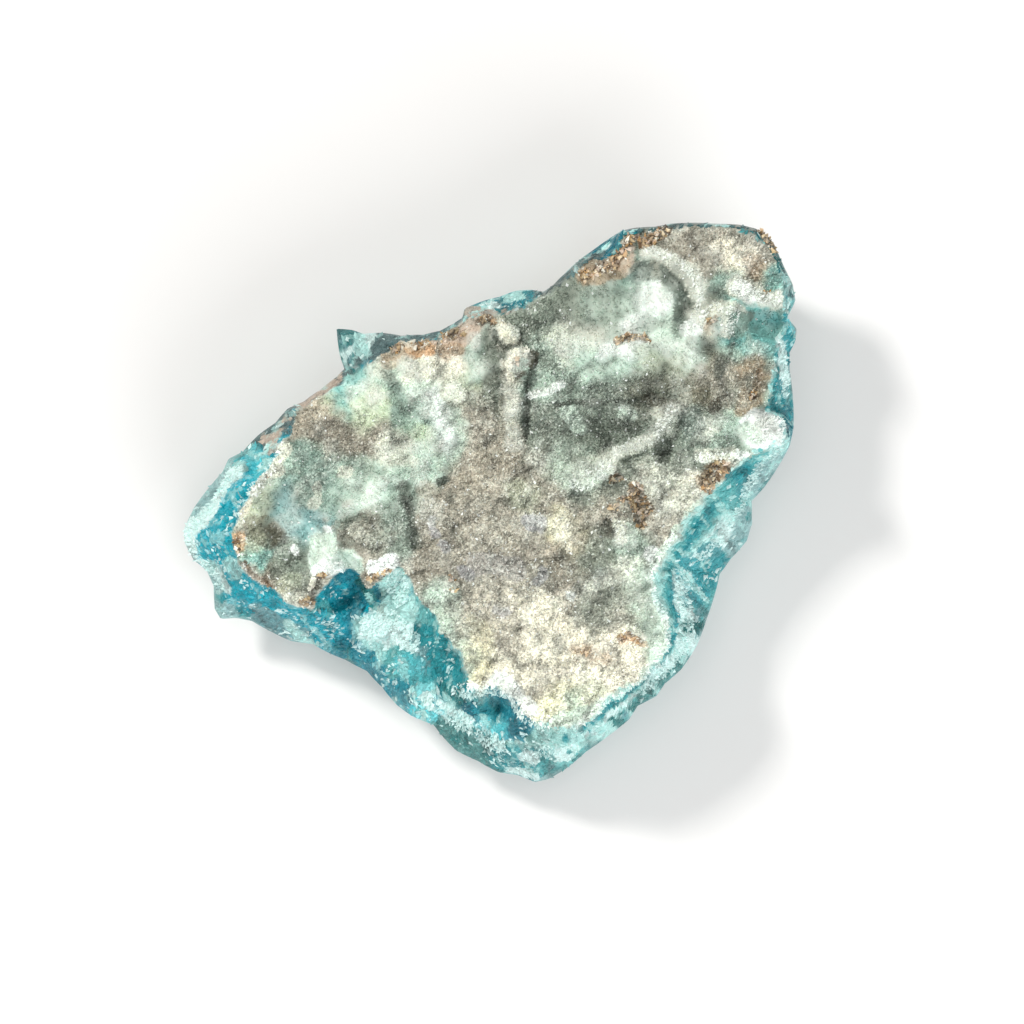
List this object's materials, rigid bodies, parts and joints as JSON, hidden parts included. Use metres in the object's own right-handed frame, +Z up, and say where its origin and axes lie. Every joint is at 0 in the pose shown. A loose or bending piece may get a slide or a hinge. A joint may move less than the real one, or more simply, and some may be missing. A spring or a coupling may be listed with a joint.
{
  "type": "hemimorphite specimen",
  "caption": "Broken slab of blue-green hemimorphite crust with a fine crystal skin on top, banded blue broken edges and a flat underside to rest on.",
  "frame": {"origin": "on the surface the stone lies on, under the middle of its outline seen from above", "axes": "+Z up, out of the crystal skin; +X along the stone's longest side, towards its blunt high corner; +Y towards the steep broken edge"},
  "size_m": [0.0482, 0.0437, 0.0153],
  "materials": {
    "hemimorphite": "glittering fine crystal skin over glassy blue fracture"
  },
  "bodies": {
    "root": {"hemimorphite": "hemimorphite"}
  },
  "joints": []
}
